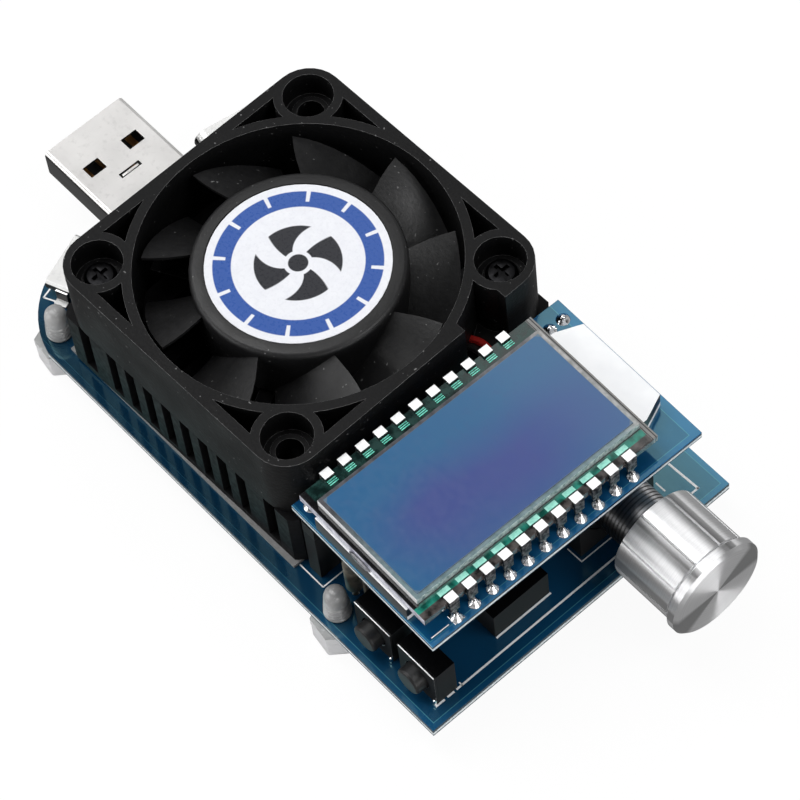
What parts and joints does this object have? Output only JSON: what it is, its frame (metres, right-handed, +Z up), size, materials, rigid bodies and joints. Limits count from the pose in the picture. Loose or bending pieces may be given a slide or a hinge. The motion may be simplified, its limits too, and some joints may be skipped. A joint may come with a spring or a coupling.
{
  "type": "usb electronic load",
  "caption": "Small open-board electronic load with a USB plug, fan-cooled heat sink, raised LCD, turned control knob, side push buttons and nylon feet.",
  "frame": {"origin": "centre of the bounding box at the feet's underside", "axes": "+X from the USB-A plug to the knob, +Y across the board towards the knob's side, +Z up through the fan"},
  "size_m": [0.0984, 0.0466, 0.0246],
  "materials": {
    "blue_board": "satin",
    "bright_steel": "satin",
    "contact_gold": "polished",
    "insulator_white": "matte",
    "insulator_black": "matte",
    "black_aluminium": "anodised black",
    "pad_grey": "matte",
    "fan_black": "satin",
    "copper_coil": "lacquered",
    "bearing_bronze": "machined",
    "magnet_grey": "sintered",
    "ground_steel": "ground",
    "label_film": "gloss",
    "black_screw": "black oxide",
    "lead_red": "satin",
    "lead_black": "satin",
    "connector_cream": "satin",
    "light_guide": "frosted",
    "lcd_glass": "clear",
    "polariser_blue": "gloss",
    "knob_aluminium": "turned",
    "bushing_steel": "machined",
    "button_black": "satin",
    "nylon": "satin",
    "ferrite": "matte",
    "resistor_brown": "gloss",
    "chip_black": "matte"
  },
  "bodies": {
    "board_unit": {"main_board": "blue_board", "usb_a_shell": "bright_steel", "usb_a_tongue": "insulator_white", "micro_usb_shell": "bright_steel", "micro_usb_tongue": "insulator_black", "type_c_shell": "bright_steel", "type_c_tongue": "insulator_black", "heat_sink": "black_aluminium", "thermal_pad": "pad_grey", "power_transistor": "chip_black", "fan_frame": "fan_black", "fan_stator": "copper_coil", "fan_bearing": "bearing_bronze", "fan_screw_1": "black_screw", "fan_screw_2": "black_screw", "fan_lead_red": "lead_red", "fan_lead_black": "lead_black", "fan_plug": "connector_cream", "fan_socket": "connector_cream", "display_board": "blue_board", "header_socket_1": "insulator_black", "header_socket_2": "insulator_black", "header_pins_1": "insulator_black", "header_pins_2": "insulator_black", "lcd_backlight": "light_guide", "lcd_rear_glass": "lcd_glass", "lcd_front_glass": "lcd_glass", "lcd_polariser": "polariser_blue", "pot_body": "insulator_black", "pot_cover": "bright_steel", "pot_bushing": "bushing_steel", "filter_inductor": "ferrite", "upright_resistor": "resistor_brown", "control_chip": "chip_black", "shunt_resistor": "chip_black", "usb_a_contact_1": "contact_gold", "foot_screw_1": "nylon", "foot_nut_1": "nylon", "usb_a_contact_2": "contact_gold", "foot_screw_2": "nylon", "foot_nut_2": "nylon", "usb_a_contact_3": "contact_gold", "foot_screw_3": "nylon", "foot_nut_3": "nylon", "usb_a_contact_4": "contact_gold", "foot_screw_4": "nylon", "foot_nut_4": "nylon", "button_1_body": "insulator_black", "button_1_cover": "button_black", "button_2_body": "insulator_black", "button_2_cover": "button_black"},
    "fan_rotor": {"fan_rotor": "fan_black", "fan_magnet_ring": "magnet_grey", "fan_shaft": "ground_steel", "fan_label": "label_film"},
    "control_knob": {"knob": "knob_aluminium", "pot_shaft": "ground_steel", "pot_wiper": "contact_gold"},
    "button_1": {"button_1_plunger": "button_black"},
    "button_2": {"button_2_plunger": "button_black"}
  },
  "joints": [
    {"name": "fan_spin", "type": "hinge", "parent": "board_unit", "child": "fan_rotor", "pos_m": [-0.00808, 0, 0.0196], "axis": [0, 0, 1], "continuous": true},
    {"name": "knob_turn", "type": "hinge", "parent": "board_unit", "child": "control_knob", "pos_m": [0.03893, 0.00958, 0.0117], "axis": [1, 0, 0], "range_deg": [-150, 150]},
    {"name": "button_1_press", "type": "slide", "parent": "board_unit", "child": "button_1", "axis": [0, 1, 0], "range_m": [0, 0.00025], "stiffness_N_per_m": 1000},
    {"name": "button_2_press", "type": "slide", "parent": "board_unit", "child": "button_2", "axis": [0, 1, 0], "range_m": [0, 0.00025], "stiffness_N_per_m": 1000}
  ]
}
